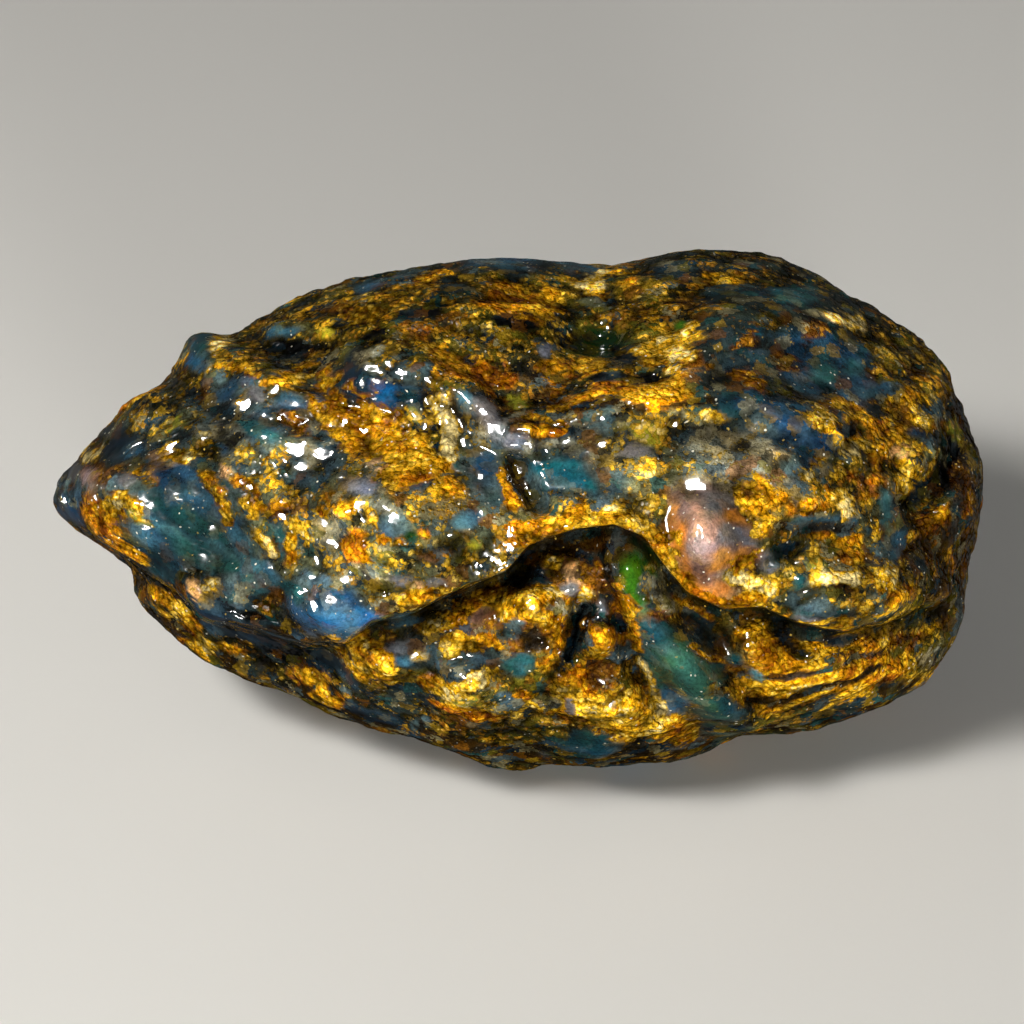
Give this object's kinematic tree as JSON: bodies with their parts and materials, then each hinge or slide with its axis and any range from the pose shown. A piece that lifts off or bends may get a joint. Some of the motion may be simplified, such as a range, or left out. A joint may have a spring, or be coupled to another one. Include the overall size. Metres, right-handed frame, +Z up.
{
  "type": "rough blue amber",
  "caption": "Rough blue amber nodule, a rounded lumpy piece of fossil resin with a deep fold across its face and a small flat to rest on.",
  "frame": {"origin": "on the ground under the middle of the nodule's box", "axes": "+X along the nodule's length towards its blunt end, -Y towards the folded face, +Z up"},
  "size_m": [0.08, 0.0522, 0.0384],
  "materials": {
    "amber": "gloss"
  },
  "bodies": {
    "root": {"amber_nodule": "amber"}
  },
  "joints": []
}
